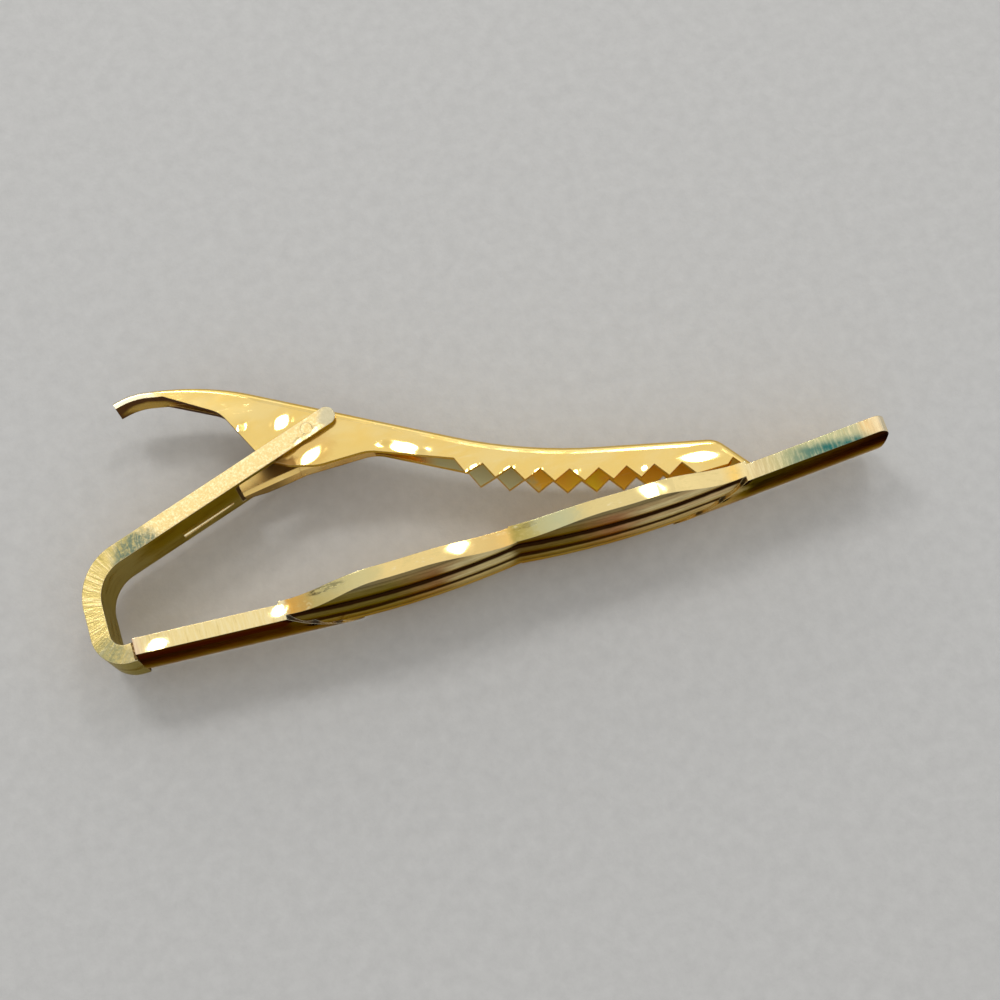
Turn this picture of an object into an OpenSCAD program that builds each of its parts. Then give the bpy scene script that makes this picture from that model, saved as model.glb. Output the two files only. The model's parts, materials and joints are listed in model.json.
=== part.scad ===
// Sprung tie clip. A domed bar with two fluted lobes is the front, a strip bent from its end is the
// back arm, and a toothed lever turns on a pin in the arm's forked tip. The clip lies on the long
// edge of its bar: X runs along the bar, +Y is the back, Z is the width.

/* [Bar] */
// Length of the bar from its joint with the arm to its free end
bar_len = 54.4; // [50:0.1:60]
// Width of the plain end pieces
end_w = 5.4; // [4.8:0.1:6.4]
// Width of a lobe at its middle
lobe_w = 8.2; // [7.2:0.1:9.4]
// Width of the waist between the two lobes
waist_w = 6.6; // [5.8:0.1:7]
// Length of the left plain end along its long side
end_a_len = 10.4; // [8:0.1:12]
// Length of the right plain end along its long side
end_b_len = 10.8; // [8:0.1:12]
// How far a plain end's slanted edge runs along the bar
slant_run = 5; // [3:0.1:6]
// How far along the bar the joint between the lobes shifts across the width
waist_shift_len = 0.8; // [0:0.1:1.5]
// Thickness of the stamped sheet
sheet_t = 1.1; // [0.9:0.05:1.3]
// Radius of the dome across the bar
dome_r = 9.2; // [8.4:0.1:12]
// Lean of the plain ends towards the back, in degrees
end_tilt = 3.8; // [3:0.1:5]
// How deep a lobe's ends lie in front of the bar's back edges
lobe_end_y = 2.05; // [1.9:0.05:2.2]
// How far a lobe swells at the middle of its length
lobe_swell = 0.5; // [0.3:0.05:0.6]
// How far a lobe runs under the pieces beside it
seam_lap = 0.3; // [0.2:0.1:1]
// Length of the flat on which a lobe's edge rests
rest_flat_len = 3; // [2:0.5:5]
// Spacing of the flutes
flute_pitch = 1.64; // [1.2:0.02:2]
// Depth of the flutes
flute_depth = 0.22; // [0.1:0.01:0.3]
// Corner radius of the bar's free end
bar_corner_r = 0.9; // [0.3:0.1:1.5]

/* [Back arm] */
// Width of the arm strip
arm_w = 4.8; // [4.4:0.1:5.2]
// Thickness of the arm strip
arm_t = 1.3; // [1.1:0.05:1.5]
// How far the arm's outer face stands behind the front of the bar's end
arm_set_back = 0.06; // [0:0.01:0.2]
// Straight stub between the bar and the first bend
stub_len = 0.5; // [0.3:0.1:1.5]
// Inner radius of the bend beside the bar
bend_a_r = 0.9; // [0.6:0.1:1.3]
// Straight riser between the bends
riser_len = 2.18; // [1.6:0.02:3]
// Inner radius of the bend into the leg
bend_b_r = 2.8; // [2:0.1:3.4]
// Slope of the leg against the bar, in degrees
leg_angle = 17.8; // [16:0.1:20]
// Length of the leg from the bend to the ends of its prongs
leg_len = 18; // [17:0.1:19]
// Distance from the ends of the prongs back to the pin
pin_from_tip = 2.3; // [2:0.1:2.8]
// Distance from the pin back to the root of the slot
slot_root = 6.4; // [6.3:0.1:6.8]
// Distance from the pin back to the thin end of the raised line on the arm's inner face
ridge_start = 7; // [6.9:0.1:7.4]
// Length of the raised line
ridge_len = 4.2; // [3:0.1:4.6]
// Height of the raised line at its thick end
ridge_h = 0.2; // [0.12:0.02:0.26]
// Distance of the raised line from the middle of the strip
ridge_off = 0.95; // [0.8:0.05:1.2]

/* [Jaw lever] */
// Outside width of the lever's channel
jaw_w = 3.6; // [3.4:0.1:4]
// Thickness of the lever's sheet
jaw_t = 0.5; // [0.4:0.05:0.6]
// Outer radius of the channel's bent edges
jaw_edge_r = 0.55; // [0.3:0.05:0.8]
// Distance along the bar from the pin to the nose
jaw_reach = 29.35; // [27:0.05:30]
// Height of the lever's back over the pin, square to it
web_over_pin = 1.9; // [1.8:0.05:2.2]
// Slope of the lever's back over the pin, in degrees
web_angle = 29.5; // [28:0.1:31]
// Slope of the lever's back over the teeth, in degrees
jaw_angle = 13.2; // [12:0.1:15]
// Slope of the nose, in degrees
nose_angle = 53; // [45:1:62]
// Length of the nose
nose_len = 3.2; // [2.8:0.1:3.6]
// Distance from over the pin back to the shoulder of the thumb tab
shoulder_back = 7.9; // [7:0.1:8.5]
// Length of the thumb tab
tab_len = 5.36; // [4.5:0.02:6.5]
// Slope of the thumb tab, in degrees
tab_angle = 11.5; // [8:0.1:14]
// Length of the tab's curled lip
lip_len = 1.55; // [1.3:0.05:2]
// Slope of the tab's curled lip, in degrees
lip_angle = 14; // [8:1:24]
// Width of the thumb tab
tab_w = 2.4; // [2:0.1:2.8]
// Radius of the tab's corners
tab_corner_r = 0.5; // [0.3:0.1:1]
// Distance from the shoulder forward to where the lever starts to narrow
taper_run = 3; // [1:0.1:3.4]
// Radius of the bends where the lever narrows
taper_r = 14; // [6:1:16]
// Radius of the bend of the tab's lip
lip_r = 5; // [2:0.5:6]
// Radius of the bend at the shoulder
shoulder_r = 20; // [10:1:22]
// Share of the toothed run that lies in the bend before it
jaw_bend_share = 0.38; // [0.25:0.01:0.5]
// Radius of the bend into the nose
nose_r = 1.8; // [1.2:0.1:2.2]
// Depth of the toothed walls, back to tooth tips
jaw_depth = 2.5; // [2.2:0.05:2.7]
// Depth of a tooth
tooth_depth = 0.88; // [0.6:0.02:1]
// Number of teeth on a wall
tooth_count = 9; // [7:1:9]
// Distance along the lever's back from over the pin to the first tooth
first_tooth = 11.5; // [11:0.1:14]
// Distance along the lever's back from the last tooth of the near wall to the nose's bend
last_tooth = 0.95; // [0.6:0.05:1.6]
// Distance from over the pin back to the cheek's corner
cheek_back = 6.4; // [5.5:0.1:7]
// Depth of the cheek's corner under the lever's back
cheek_depth = 1.84; // [1.2:0.02:2.4]
// Depth of the far wall's cheek corner under the lever's back
far_cheek_depth = 1.3; // [1:0.02:1.9]
// Radius of the cheek's corner
cheek_r = 2.5; // [1:0.1:3]
// Radius of the ears' back corners
ear_r = 0.5; // [0.3:0.1:0.8]
// Radius of the ears' front corner
ear_front_r = 3; // [1:0.1:4]
// Depth of the near ear under the pin
ear_drop = 2.62; // [2.4:0.02:2.8]
// Distance from the pin back to the bend of the near cheek's edge
cheek_bend_back = 3.5; // [3:0.1:4]
// Depth of that bend under the pin
cheek_bend_drop = 1.1; // [0.8:0.05:1.4]
// Reach of the near ear behind the pin
ear_back = 1.9; // [1.8:0.05:2.6]
// Depth of the near ear's back corner under the pin
ear_back_drop = 2.05; // [1.8:0.05:2.4]
// Reach of the ears in front of the pin
ear_front = 3.7; // [3.2:0.1:4.2]
// Depth of the far ear under the pin
far_drop = 2.08; // [1.9:0.02:2.4]
// Distance from the pin back to the notch over the far ear's tail
notch_back = 3.9; // [3.6:0.1:4.4]
// Height of that notch over the pin
notch_rise = 0.3; // [0.1:0.1:0.6]
// Reach of the far ear's tail behind the pin
tail_back = 5.85; // [5.4:0.05:5.9]
// Reach of the tail's lower corner behind the pin
tail_low_back = 5.6; // [5.2:0.05:5.65]
// Depth of the tail's upper corner under the pin
tail_top = 1.6; // [1.4:0.1:1.8]
// Depth of the tail's lower corner under the pin
tail_low = 2.75; // [2.4:0.05:2.8]
// Height of the rounding along the inner side of the far ear's lower edge
bevel_h = 0.7; // [0.4:0.05:0.9]
// Depth of that rounding across the sheet
bevel_t = 0.4; // [0.2:0.05:0.45]

/* [Pin and spring] */
// Diameter of the pivot pin
pin_d = 0.8; // [0.7:0.05:0.9]
// Diameter of the spring wire
wire_d = 0.3; // [0.25:0.01:0.35]
// Spacing of the spring's turns
turn_pitch = 0.75; // [0.7:0.01:0.8]
// Length of the spring's leg on the arm
arm_leg_len = 9.6; // [8:0.1:10.4]
// Length of the spring's leg under the thumb tab
tab_leg_len = 5.4; // [4:0.1:6]

/* [Fits] */
// Clearance of the pin in the lever's ears, on the radius
pin_play = 0.04; // [0.02:0.01:0.08]
// Clearance of the pin in the arm's prongs, on the radius
pin_seat = 0.01; // [0.01:0.01:0.02]
// Clearance between the channel and each prong
side_play = 0.07; // [0.05:0.01:0.12]
// Gap between the closed nose and the bar
nose_gap = 0.05; // [0.03:0.01:0.3]
// Gap between the spring and what it bears on
wire_gap = 0.03; // [0.02:0.01:0.1]

/* [Hidden] */
$fn = 64;
gold = [0.86, 0.68, 0.32];
pale_gold = [0.84, 0.72, 0.42];
bright_gold = [0.92, 0.74, 0.34];
steel = [0.62, 0.6, 0.56];
overrun = 0.4;
arc_steps = 8;

// Outline helpers: unit vectors, the meeting of two lines, and paths with rounded corners

function dir(a) = [cos(a), sin(a)];
function cross2(a, b) = a[0] * b[1] - a[1] * b[0];
function unit(v) = v / norm(v);
function inward(d) = [d[1], -d[0]];
function backward(list) = [for (i = [len(list) - 1 : -1 : 0]) list[i]];
function meet(p, a, q, b) = p + dir(a) * cross2(q - p, dir(b)) / cross2(dir(a), dir(b));
function spin2(v, a) = [v[0] * cos(a) - v[1] * sin(a), v[0] * sin(a) + v[1] * cos(a)];

// One rounded corner as points with the inward normal of the path, [x, y, nx, ny]
function corner(a, p, b, r, steps) =
    let (
        d1 = unit(p - a),
        d2 = unit(b - p),
        turn = atan2(cross2(d1, d2), d1 * d2),
        side = sign(turn),
        start = p - d1 * r * tan(abs(turn) / 2),
        centre = start + spin2(d1, 90 * side) * r
    )
    [for (k = [0 : steps])
        let (
            n = spin2(d1, -90 * side + turn * k / steps),
            at = centre + n * r,
            inner = inward(spin2(d1, turn * k / steps))
        )
        [at[0], at[1], inner[0], inner[1]]];

// Open path through corner points, rounded with one radius for each inner corner
function rounded_path(pts, radii, steps = arc_steps) =
    let (
        last = len(pts) - 1,
        n0 = inward(unit(pts[1] - pts[0])),
        n1 = inward(unit(pts[last] - pts[last - 1]))
    )
    concat(
        [[pts[0][0], pts[0][1], n0[0], n0[1]]],
        [for (i = [1 : last - 1]) each corner(pts[i - 1], pts[i], pts[i + 1], radii[i - 1], steps)],
        [[pts[last][0], pts[last][1], n1[0], n1[1]]]
    );

function spot(s) = [s[0], s[1]];
function spots(path, inset = 0) = [for (s = path) [s[0] + s[2] * inset, s[1] + s[3] * inset]];
function run_to(path, i) = i == 0 ? 0 : run_to(path, i - 1) + norm(spot(path[i]) - spot(path[i - 1]));

// A closed skin over rings that all have the same number of points
module skin(rings) {
    n = len(rings[0]);
    last = len(rings) - 1;
    faces = concat(
        [[for (i = [n - 1 : -1 : 0]) i]],
        [for (k = [0 : last - 1], i = [0 : n - 1])
            let (a = k * n + i, b = k * n + (i + 1) % n)
            each [[a, b, b + n], [a, b + n, a + n]]],
        [[for (i = [0 : n - 1]) last * n + i]]
    );
    polyhedron([for (ring = rings) each ring], faces, convexity = 6);
}

// Bar

half_end = end_w / 2;
half_lobe = lobe_w / 2;
half_waist = waist_w / 2;
back_r = dome_r - sheet_t;
waist_x = (end_a_len + bar_len - end_b_len) / 2;
far_a_x = end_a_len + slant_run;
near_b_x = bar_len - end_b_len;
far_b_x = near_b_x - slant_run;
// Share of the waist's shift that lies at the near edge
near_shift_share = 0.5;

function front_drop(z) = dome_r - sqrt(dome_r * dome_r - z * z);
function back_drop(z) = dome_r - sqrt(back_r * back_r - z * z);
end_crest_y = -back_drop(half_end);
function end_a_crest(x) = end_crest_y - x * tan(end_tilt);
function end_b_crest(x) = end_crest_y - (bar_len - x) * tan(end_tilt);
function flute(z) = flute_depth * (1 - abs(cos(180 * z / flute_pitch)));

// Half section of the domed sheet: x is the depth towards the back, y the width
dome_steps = 12;
dome_reach = half_lobe + overrun;
flute_steps = 8;
flute_count = ceil(dome_reach / flute_pitch);
fluted_reach = flute_count * flute_pitch;

function arc_back(reach) = [for (i = [0 : dome_steps])
    let (z = reach * (1 - 2 * i / dome_steps)) [back_drop(z), z]];
function arc_front(reach) = [for (i = [0 : 2 * dome_steps])
    let (z = reach * (i / dome_steps - 1)) [front_drop(z), z]];
function fluted_front(reach) =
    let (steps = 2 * flute_count * flute_steps)
    [for (i = [0 : steps]) let (z = reach * (2 * i / steps - 1)) [front_drop(z) + flute(z), z]];

// Edge of a lobe seen from the front: it swells softly from each end to a straight flat
swell_power = 1.4;
function lobe_edge(x0, z0, x1, z1) =
    let (
        mid = (x0 + x1) / 2,
        steps = 12,
        left = [for (i = [0 : steps])
            let (t = i / steps)
            [x0 + (mid - rest_flat_len / 2 - x0) * t,
             z0 + (half_lobe - z0) * pow(sin(90 * t), swell_power)]],
        right = [for (i = [0 : steps])
            let (t = i / steps)
            [mid + rest_flat_len / 2 + (x1 - mid - rest_flat_len / 2) * t,
             z1 + (half_lobe - z1) * pow(cos(90 * t), swell_power)]]
    )
    concat(left, right);

function mirrored(list) = [for (p = list) [p[0], -p[1]]];

near_waist_x = waist_x - waist_shift_len * near_shift_share;
far_waist_x = waist_x + waist_shift_len * (1 - near_shift_share);

function lobe_a_outline(under) = concat(
    [[end_a_len - under, half_end]],
    lobe_edge(end_a_len, half_end, near_waist_x, half_waist),
    [[near_waist_x + under, half_waist], [far_waist_x + under, -half_waist]],
    mirrored(backward(lobe_edge(far_a_x, half_end, far_waist_x, half_waist))),
    [[far_a_x - under, -half_end]]
);
function lobe_b_outline(under) = concat(
    lobe_edge(near_waist_x, half_waist, near_b_x, half_end),
    [[near_b_x + under, half_end], [far_b_x + under, -half_end]],
    mirrored(backward(lobe_edge(far_waist_x, half_waist, far_b_x, half_end)))
);

module upright(h) {
    rotate([90, 0, 0]) linear_extrude(height = h, center = true, convexity = 6) children();
}

bar_h = 4 * dome_r;

// A lobe is a ring sector with a fluted section, cut to its outline
module lobe(x0, x1, outline) {
    span = x1 - x0;
    ring_r = (span * span / 4 + lobe_swell * lobe_swell) / (2 * lobe_swell);
    reach = 2 * asin((span / 2 + slant_run) / ring_r);
    section = concat(fluted_front(fluted_reach), arc_back(fluted_reach));
    intersection() {
        translate([(x0 + x1) / 2, ring_r - lobe_end_y - lobe_swell, 0])
            rotate([0, 0, -90 - reach / 2])
                rotate_extrude(angle = reach, $fn = 180)
                    polygon([for (p = section) [ring_r - p[0], p[1]]]);
        upright(bar_h) polygon(outline);
    }
}

module plain_end(len, crest_y, tilt, outline) {
    section = concat(arc_front(dome_reach), arc_back(dome_reach));
    intersection() {
        translate([0, crest_y, 0])
            rotate([0, 0, tilt])
                rotate([90, 0, 90])
                    translate([0, 0, -len])
                        linear_extrude(height = 2 * len, convexity = 4)
                            polygon(section);
        upright(bar_h) polygon(outline);
    }
}

end_a_outline = [[0, -half_end], [far_a_x, -half_end], [end_a_len, half_end], [0, half_end]];
end_b_path = rounded_path(
    [[far_b_x, -half_end], [bar_len, -half_end], [bar_len, half_end], [near_b_x, half_end]],
    [bar_corner_r, bar_corner_r]
);

module front_bar() {
    color(gold) union() {
        plain_end(far_a_x, end_crest_y, -end_tilt, end_a_outline);
        translate([bar_len, 0, 0])
            plain_end(bar_len - far_b_x, end_crest_y, end_tilt,
                [for (p = spots(end_b_path)) p - [bar_len, 0]]);
        lobe(end_a_len, waist_x, lobe_a_outline(seam_lap));
        lobe(waist_x, near_b_x, lobe_b_outline(seam_lap));
    }
}

// Back arm: the strip's outline seen from its edge

arm_y = end_crest_y + arm_set_back + arm_t / 2;
bend_a = bend_a_r + arm_t / 2;
bend_b = bend_b_r + arm_t / 2;
bend_a_at = [-stub_len, arm_y + bend_a];
riser_x = -stub_len - bend_a;
bend_b_at = [riser_x + bend_b, bend_a_at[1] + riser_len];
leg_start = bend_b_at + bend_b * dir(90 + leg_angle);
pin_at = leg_start + dir(leg_angle) * (leg_len - pin_from_tip);

bend_steps = 24;
tip_at = leg_start + dir(leg_angle) * (leg_len - arm_t / 2);
leg_corner = meet([riser_x, 0], 90, leg_start, leg_angle);
arm_line = rounded_path([[0, arm_y], [riser_x, arm_y], leg_corner, tip_at], [bend_a, bend_b], bend_steps);
round_tip = [for (k = [1 : bend_steps - 1])
    tip_at + arm_t / 2 * dir(leg_angle + 90 - 180 * k / bend_steps)];

module arm_strip() {
    linear_extrude(height = arm_w, center = true, convexity = 6)
        polygon(concat(spots(arm_line, -arm_t / 2), round_tip, backward(spots(arm_line, arm_t / 2))));
}

slot_w = jaw_w + 2 * side_play;
slot_len = slot_root + pin_from_tip + overrun;

// The raised line beside the middle of the strip, thinner towards the pin
ridge_thin_share = 0.45;
module ridge() {
    translate(pin_at) rotate([0, 0, leg_angle])
        translate([-ridge_start - ridge_len, -arm_t / 2, -ridge_off])
            rotate([0, 90, 0])
                cylinder(h = ridge_len, r1 = ridge_h, r2 = ridge_h * ridge_thin_share);
}

module back_arm() {
    color(pale_gold) difference() {
        union() {
            arm_strip();
            ridge();
        }
        translate(pin_at) rotate(leg_angle) translate([-slot_root, -arm_t, -slot_w / 2])
            cube([slot_len, 2 * arm_t, slot_w]);
        translate(pin_at) cylinder(d = pin_d + 2 * pin_seat, h = 2 * arm_w, center = true);
    }
}

// Jaw lever: the path of its back runs from the tab's lip to the nose

half_jaw = jaw_w / 2;
web_foot = pin_at + web_over_pin * dir(90 - web_angle);
shoulder_at = web_foot - shoulder_back * dir(-web_angle);
tab_at = shoulder_at - tab_len * dir(-tab_angle);
lip_at = tab_at - lip_len * dir(lip_angle);
nose_x = pin_at[0] + jaw_reach;
nose_floor = end_b_crest(nose_x) + back_drop(half_jaw) + nose_gap;
nose_at = [nose_x, nose_floor + jaw_t * cos(nose_angle)];
nose_top = nose_at - nose_len * dir(-nose_angle);
jaw_at = meet(web_foot, -web_angle, nose_top, -jaw_angle);
jaw_bend_r = jaw_bend_share * norm(nose_top - jaw_at) / tan((web_angle - jaw_angle) / 2);
web = rounded_path([lip_at, tab_at, shoulder_at, jaw_at, nose_top, nose_at],
    [lip_r, shoulder_r, jaw_bend_r, nose_r]);
web_last = len(web) - 1;

web_run = [for (i = [0 : web_last]) run_to(web, i)];
run_x = [for (i = [0 : web_last]) [web_run[i], web[i][0]]];
run_y = [for (i = [0 : web_last]) [web_run[i], web[i][1]]];
run_nx = [for (i = [0 : web_last]) [web_run[i], web[i][2]]];
run_ny = [for (i = [0 : web_last]) [web_run[i], web[i][3]]];
function web_at(s, depth) = [
    lookup(s, run_x) + depth * lookup(s, run_nx),
    lookup(s, run_y) + depth * lookup(s, run_ny)
];

// The nose's walls end on a foot in front of its tip
foot_back_share = 0.55;
foot_rise_share = 0.15;
nose_wall_share = 0.46;
nose_wall_at = nose_at - nose_wall_share * nose_len * dir(-nose_angle);
foot_at = [nose_at[0] - foot_back_share * nose_len, nose_at[1] + foot_rise_share * nose_len];

// The shoulder's bend ends before the web passes over the pin
shoulder_end = 1 + 2 * (arc_steps + 1) - 1;
pin_run = web_run[shoulder_end] + norm(web_foot - spot(web[shoulder_end]));
first_tip = pin_run + first_tooth;
nose_start = web_last - 1 - arc_steps;
tooth_pitch = (web_run[nose_start] - last_tooth - first_tip) / (tooth_count - 1);
tooth_stagger_share = 0.5;
cheek_start = 2 + arc_steps;
cheek_at = web_foot - cheek_back * dir(-web_angle) - cheek_depth * dir(90 - web_angle);
far_cheek_at = web_foot - cheek_back * dir(-web_angle) - far_cheek_depth * dir(90 - web_angle);

function teeth(phase) = [for (k = [0 : tooth_count - 1])
    let (s = first_tip + (k + phase) * tooth_pitch)
    each [
        web_at(s - tooth_pitch / 2, jaw_depth - tooth_depth),
        web_at(s, jaw_depth)
    ]];

function from_pin(x, y) = pin_at + [x, y];
near_ear = [from_pin(-cheek_bend_back, -cheek_bend_drop), from_pin(-ear_back, -ear_back_drop),
    from_pin(0, -ear_drop), from_pin(ear_front, -ear_drop)];
near_ear_radii = [ear_r, ear_r, ear_front_r, ear_front_r];
tail_at = from_pin(-tail_low_back, -tail_low);
far_ear_at = from_pin(-ear_front / 4, -far_drop);
far_front_at = from_pin(ear_front + far_drop / 4, -far_drop);
far_ear = [from_pin(-notch_back, notch_rise), from_pin(-tail_back, -tail_top), tail_at, far_ear_at,
    far_front_at];
far_ear_radii = [ear_r, ear_r, ear_r, ear_front_r, ear_front_r];

// Lower edge of a wall: cheek, ear and teeth, and the foot of the nose
function wall_low(phase, cheek, ear, radii) =
    let (row = teeth(phase))
    concat(
        spots(rounded_path(
            concat([web_at(web_run[cheek_start], jaw_t), cheek], ear, [row[0]]),
            concat([cheek_r], radii))),
        [for (i = [1 : len(row) - 1]) row[i]],
        [foot_at]
    );

module wall(phase, cheek, ear, radii) {
    top = [for (i = [cheek_start : web_last - 1]) spot(web[i])];
    low = wall_low(phase, cheek, ear, radii);
    linear_extrude(height = half_jaw, convexity = 8)
        polygon(concat(top, [nose_wall_at], backward(low)));
}

// Rounding on the inner side of the far ear's lower edge, in two bevels from corner to corner
upper_bevel_share = 0.3;
module ear_bevel(p, q, h, t0, t1) {
    run = q - p;
    translate([p[0], p[1], jaw_t - half_jaw - t0])
        rotate([0, 0, atan2(run[1], run[0])])
            translate([-overrun, h, 0])
                rotate([atan2(t1 - t0, h), 0, 0])
                    translate([0, -2 * bevel_h, 0])
                        cube([norm(run) + overrun, 2 * bevel_h, jaw_t]);
}
module ear_edge(p, q) {
    ear_bevel(p, q, bevel_h, 0, 2 * upper_bevel_share * bevel_t);
    ear_bevel(p, q, bevel_h / 2, upper_bevel_share * bevel_t, bevel_t);
}

module web_sheet() {
    linear_extrude(height = jaw_w, center = true, convexity = 6)
        polygon(concat(spots(web), backward(spots(web, jaw_t))));
}

// The tab seen from the back: full width at the shoulder, narrower with round corners at the lip
taper_x = shoulder_at[0] + taper_run;
lip_x = lip_at[0] - jaw_t;
tab_neck_x = tab_at[0] + tab_len / 3;
tab_path = rounded_path(
    [[nose_x + jaw_w, -half_jaw], [taper_x, -half_jaw], [tab_neck_x, -tab_w / 2], [lip_x, -tab_w / 2],
     [lip_x, tab_w / 2], [tab_neck_x, tab_w / 2], [taper_x, half_jaw], [nose_x + jaw_w, half_jaw]],
    [taper_r, taper_r, tab_corner_r, tab_corner_r, taper_r, taper_r]
);

// The hollow between the walls, seen from the back: the outline drawn in by the sheet's thickness
neck_end = 2 * (arc_steps + 1);
tab_last = len(tab_path) - 1;
hollow = concat(
    spots([for (i = [0 : neck_end]) tab_path[i]], jaw_t),
    spots([for (i = [tab_last - neck_end : tab_last]) tab_path[i]], jaw_t)
);

// Rounding of the channel's long outer edges, as a cutter along the web that follows the outline
round_steps = 5;
tab_round_share = 0.4;
function half_at(x) = lookup(x, [for (i = [neck_end : -1 : 0]) [tab_path[i][0], -tab_path[i][1]]]);
function round_at(x) = jaw_edge_r * lookup(x, [[tab_neck_x, tab_round_share], [taper_x, 1]]);
function cutter_section(half, r) = concat(
    [[-overrun, half - r]],
    [for (k = [0 : round_steps])
        let (a = 90 * k / round_steps)
        [r * (1 - cos(a)), half - r * (1 - sin(a))]],
    [[r, half + overrun], [-overrun, half + overrun]]
);
module edge_cutter() {
    first = web[0];
    last = web[web_last];
    ends = [
        [first[0] + first[3] * overrun, first[1] - first[2] * overrun, first[2], first[3]],
        [last[0] - last[3] * overrun, last[1] + last[2] * overrun, last[2], last[3]]
    ];
    stations = concat([ends[0]], [for (i = [1 : web_last - 1]) web[i]], [ends[1]]);
    skin([for (s = stations)
        [for (p = cutter_section(half_at(s[0]), round_at(s[0])))
            [s[0] + s[2] * p[0], s[1] + s[3] * p[0], p[1]]]]);
}

module jaw_lever() {
    color(bright_gold) difference() {
        intersection() {
            union() {
                web_sheet();
                difference() {
                    union() {
                        wall(0, cheek_at, near_ear, near_ear_radii);
                        translate([0, 0, -half_jaw])
                            wall(tooth_stagger_share, far_cheek_at, far_ear, far_ear_radii);
                    }
                    upright(bar_h * 2) polygon(hollow);
                }
            }
            upright(bar_h * 2) polygon(spots(tab_path));
        }
        edge_cutter();
        mirror([0, 0, 1]) edge_cutter();
        ear_edge(tail_at, far_ear_at);
        ear_edge(far_ear_at, far_front_at);
        translate(pin_at) cylinder(d = pin_d + 2 * pin_play, h = 2 * jaw_w, center = true);
    }
}

module pivot_pin() {
    color(steel) translate(pin_at) cylinder(d = pin_d, h = arm_w, center = true);
}

// Jaw spring: a coil round the pin with one leg on the arm and one under the tab

coil_r = arm_t / 2 + wire_gap + wire_d / 2;
ring_sides = 6;
rings_per_turn = 8;
arm_leg_dir = 180 + leg_angle;
web_inner = web_over_pin - jaw_t;
climb = web_inner + coil_r - wire_d / 2 - wire_gap;
tab_leg_dir = 180 - web_angle - asin(climb / norm([climb, tab_leg_len]));
coil_from = arm_leg_dir - 90;
coil_to = tab_leg_dir + 90;
coil_turn = coil_from - coil_to + 360 + 720;
turns = coil_turn / 360;
coil_rings = ceil(turns * rings_per_turn);
coil_h = turns * turn_pitch;

arm_leg = [for (k = [0 : 3])
    let (p = coil_r * dir(coil_from) + arm_leg_len * (1 - k / 4) * dir(arm_leg_dir))
    [p[0], p[1], -coil_h / 2]];
coil = [for (k = [0 : coil_rings])
    let (t = k / coil_rings, p = coil_r * dir(coil_from - coil_turn * t))
    [p[0], p[1], coil_h * (t - 1 / 2)]];
tab_leg = [for (k = [1 : 4])
    let (p = coil_r * dir(coil_to) + tab_leg_len * k / 4 * dir(tab_leg_dir))
    [p[0], p[1], coil_h / 2]];
spring_line = concat(arm_leg, coil, tab_leg);
spring_last = len(spring_line) - 1;

function along(i) = unit(
    spring_line[min(i + 1, spring_last)] - spring_line[max(i - 1, 0)]
);
function wire_ring(i) =
    let (
        d = along(i),
        side = unit(cross(d, [0, 0, 1])),
        up = cross(side, d)
    )
    [for (k = [0 : ring_sides - 1])
        let (a = 360 * k / ring_sides)
        spring_line[i] + wire_d / 2 * (cos(a) * side + sin(a) * up)];

// Least gap between turns that are not neighbours along the wire
function wire_gaps() = [for (i = [0 : spring_last], j = [i + rings_per_turn / 2 + 1 : 1 : spring_last])
    norm(spring_line[i] - spring_line[j]) - wire_d];
echo(least_spring_gap = min(wire_gaps()));

module jaw_spring() {
    color(steel) translate(pin_at) skin([for (i = [0 : spring_last]) wire_ring(i)]);
}

// The origin lies under the middle of the clip, on the surface it rests on
low_x = riser_x - arm_t / 2;
low_y = -lobe_end_y - lobe_swell;
high_y = max([for (p = spots(web)) p[1]]);

module placed() {
    translate([-(low_x + bar_len) / 2, -(low_y + high_y) / 2, half_lobe]) children();
}

placed() front_bar();
placed() back_arm();
placed() jaw_lever();
placed() pivot_pin();
placed() jaw_spring();
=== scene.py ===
import json
import math

import bpy
from mathutils import Euler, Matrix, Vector


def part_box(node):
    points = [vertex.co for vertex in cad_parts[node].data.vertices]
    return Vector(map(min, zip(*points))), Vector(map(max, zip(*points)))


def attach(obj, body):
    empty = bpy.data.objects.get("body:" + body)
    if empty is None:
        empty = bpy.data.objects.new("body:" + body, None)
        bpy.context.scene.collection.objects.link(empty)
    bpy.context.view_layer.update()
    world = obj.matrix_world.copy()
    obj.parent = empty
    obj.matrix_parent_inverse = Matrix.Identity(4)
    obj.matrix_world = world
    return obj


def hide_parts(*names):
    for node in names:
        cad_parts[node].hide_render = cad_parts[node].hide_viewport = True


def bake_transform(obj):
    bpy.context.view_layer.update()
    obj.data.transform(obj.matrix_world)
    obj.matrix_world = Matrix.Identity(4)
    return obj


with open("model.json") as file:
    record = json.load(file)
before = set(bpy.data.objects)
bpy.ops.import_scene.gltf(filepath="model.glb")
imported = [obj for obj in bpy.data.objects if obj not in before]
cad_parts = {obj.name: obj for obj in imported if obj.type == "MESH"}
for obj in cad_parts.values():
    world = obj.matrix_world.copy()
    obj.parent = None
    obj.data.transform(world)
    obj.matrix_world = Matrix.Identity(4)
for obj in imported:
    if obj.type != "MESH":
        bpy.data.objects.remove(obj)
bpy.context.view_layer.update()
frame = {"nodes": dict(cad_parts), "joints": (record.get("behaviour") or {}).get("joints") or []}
bpy.ops.object.select_all(action="DESELECT")

MM = 0.001

# Where the photograph was taken from, in the clip's own frame: metres, degrees, and a lens in millimetres
CAMERA_AT = (-0.0084883, -0.034187, 0.1216992)
CAMERA_TURN = (14.6942, -0.2261, -17.2345)
CAMERA_LENS = 61.776
SENSOR_WIDTH = 36

# The two small lamps that give the white glints, for the left and the right part of the clip, in metres
KEY_LEFT = (-0.11, 0.25, 0.37)
KEY_RIGHT = (0.13, 0.20, 0.37)

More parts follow.
